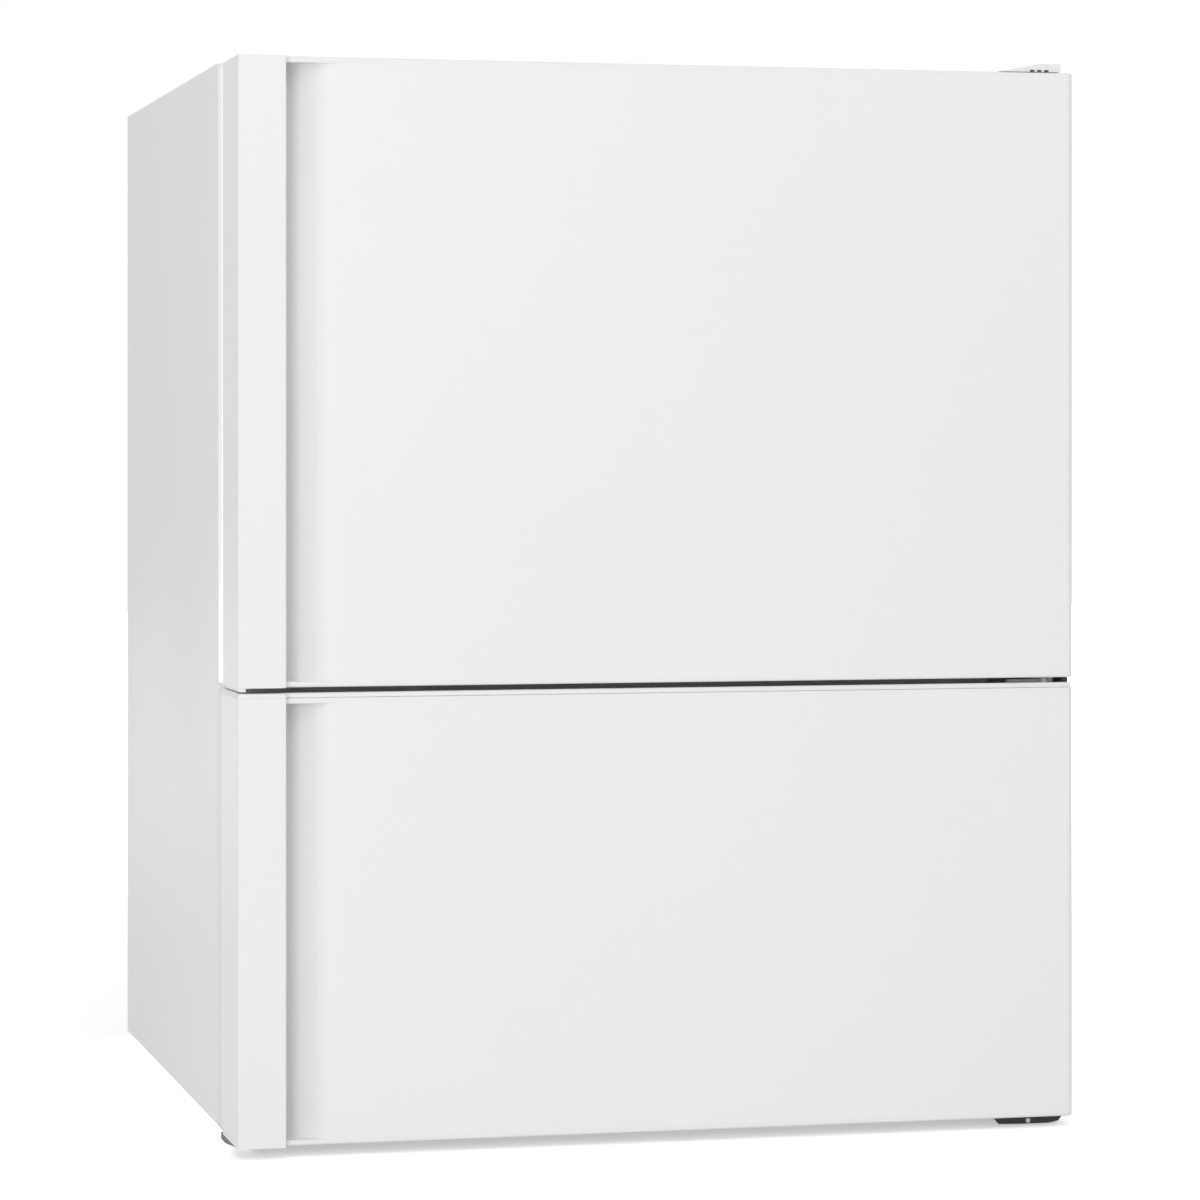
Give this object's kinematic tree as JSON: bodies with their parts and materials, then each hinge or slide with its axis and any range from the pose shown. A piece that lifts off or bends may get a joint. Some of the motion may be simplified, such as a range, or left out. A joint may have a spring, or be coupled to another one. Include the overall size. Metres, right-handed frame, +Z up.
{
  "type": "fridge freezer",
  "caption": "Free-standing fridge freezer: fridge above and freezer below, two hinged doors with side grips, shelves, crispers and drawers.",
  "frame": {"origin": "on the floor, under the middle of the object's bounding box", "axes": "+Z up, +X to the right seen from the front, -Y out of the doors"},
  "size_m": [0.91, 0.89, 1.148],
  "materials": {
    "painted_side": "satin",
    "painted_back": "matte",
    "galvanised": "satin",
    "foam": "matte",
    "white_liner": "satin",
    "zinc_steel": "satin",
    "grey_plastic": "satin",
    "black_steel": "satin",
    "black_plastic": "matte",
    "black_enamel": "gloss",
    "rubber": "matte",
    "copper": "satin",
    "aluminium": "satin",
    "glass": "gloss",
    "white_trim": "satin",
    "clear_plastic": "gloss",
    "white_enamel": "satin",
    "white_strip": "satin",
    "cap_plastic": "satin",
    "gasket": "matte"
  },
  "bodies": {
    "cabinet": {"left_side_panel": "painted_side", "right_side_panel": "painted_side", "top_panel": "painted_side", "back_panel": "painted_back", "base_tray": "galvanised", "compressor_bay_wall": "galvanised", "centre_rail": "painted_side", "cabinet_insulation": "foam", "fridge_liner": "white_liner", "freezer_liner": "white_liner", "top_hinge_bracket": "zinc_steel", "top_hinge_cover": "grey_plastic", "middle_hinge_bracket": "zinc_steel", "bottom_hinge_bracket": "black_steel", "left_foot_bracket": "black_steel", "hinge_screws": "zinc_steel", "roller_brackets": "galvanised", "compressor": "black_enamel", "compressor_mounts": "rubber", "compressor_terminal_box": "black_plastic", "drain_water_tray": "black_plastic", "condenser": "black_enamel", "filter_dryer": "copper", "refrigerant_pipes": "copper", "evaporator": "aluminium", "evaporator_cover": "white_liner", "fan_motor": "black_plastic", "air_duct_cover": "white_liner", "crisper_shelf_glass": "glass", "lower_shelf_glass": "glass", "upper_shelf_glass": "glass", "shelf_trims": "white_trim", "lamp_housing": "white_trim", "lamp_lens": "clear_plastic"},
    "upper_door": {"upper_door_panel": "white_enamel", "upper_door_insulation": "foam", "upper_door_liner": "white_liner", "upper_door_gasket": "gasket", "upper_door_caps": "cap_plastic", "upper_grip_strip": "white_strip", "bottle_bin": "clear_plastic", "middle_bin": "clear_plastic", "top_bin": "clear_plastic"},
    "lower_door": {"lower_door_panel": "white_enamel", "lower_door_insulation": "foam", "lower_door_liner": "white_liner", "lower_door_gasket": "gasket", "lower_door_caps": "cap_plastic", "lower_grip_strip": "white_strip"},
    "left_crisper": {"left_crisper": "clear_plastic"},
    "right_crisper": {"right_crisper": "clear_plastic"},
    "freezer_drawer_top": {"freezer_drawer_top": "clear_plastic"},
    "freezer_drawer_middle": {"freezer_drawer_middle": "clear_plastic"},
    "freezer_drawer_bottom": {"freezer_drawer_bottom": "clear_plastic"},
    "thermostat_knob": {"thermostat_knob": "grey_plastic"},
    "fan_impeller": {"fan_impeller": "grey_plastic"},
    "left_front_foot": {"left_front_foot": "black_plastic"},
    "right_front_foot": {"right_front_foot": "black_plastic"},
    "left_rear_roller": {"left_rear_roller": "black_plastic"},
    "right_rear_roller": {"right_rear_roller": "black_plastic"}
  },
  "joints": [
    {"name": "upper_door_swing", "type": "hinge", "parent": "cabinet", "child": "upper_door", "pos_m": [0.431, -0.39, 0.8], "axis": [0, 0, 1], "range_deg": [0, 120]},
    {"name": "lower_door_swing", "type": "hinge", "parent": "cabinet", "child": "lower_door", "pos_m": [0.431, -0.39, 0.25], "axis": [0, 0, 1], "range_deg": [0, 120]},
    {"name": "left_crisper_slide", "type": "slide", "parent": "cabinet", "child": "left_crisper", "axis": [0, -1, 0], "range_m": [0, 0.04]},
    {"name": "right_crisper_slide", "type": "slide", "parent": "cabinet", "child": "right_crisper", "axis": [0, -1, 0], "range_m": [0, 0.04]},
    {"name": "top_drawer_slide", "type": "slide", "parent": "cabinet", "child": "freezer_drawer_top", "axis": [0, -1, 0], "range_m": [0, 0.045]},
    {"name": "middle_drawer_slide", "type": "slide", "parent": "cabinet", "child": "freezer_drawer_middle", "axis": [0, -1, 0], "range_m": [0, 0.045]},
    {"name": "bottom_drawer_slide", "type": "slide", "parent": "cabinet", "child": "freezer_drawer_bottom", "axis": [0, -1, 0], "range_m": [0, 0.045]},
    {"name": "thermostat_turn", "type": "hinge", "parent": "cabinet", "child": "thermostat_knob", "pos_m": [0.082, -0.037, 1.069], "axis": [0, -1, 0], "range_deg": [0, 270]},
    {"name": "fan_spin", "type": "hinge", "parent": "cabinet", "child": "fan_impeller", "pos_m": [0, 0.314, 0.39975], "axis": [0, 1, 0], "continuous": true},
    {"name": "left_foot_turn", "type": "hinge", "parent": "cabinet", "child": "left_front_foot", "pos_m": [-0.4, -0.269, 0.01], "axis": [0, 0, 1], "continuous": true},
    {"name": "right_foot_turn", "type": "hinge", "parent": "cabinet", "child": "right_front_foot", "pos_m": [0.4, -0.269, 0.01], "axis": [0, 0, 1], "continuous": true},
    {"name": "left_roller_spin", "type": "hinge", "parent": "cabinet", "child": "left_rear_roller", "pos_m": [-0.405, 0.411, 0.015], "axis": [1, 0, 0], "continuous": true},
    {"name": "right_roller_spin", "type": "hinge", "parent": "cabinet", "child": "right_rear_roller", "pos_m": [0.405, 0.411, 0.015], "axis": [1, 0, 0], "continuous": true}
  ]
}
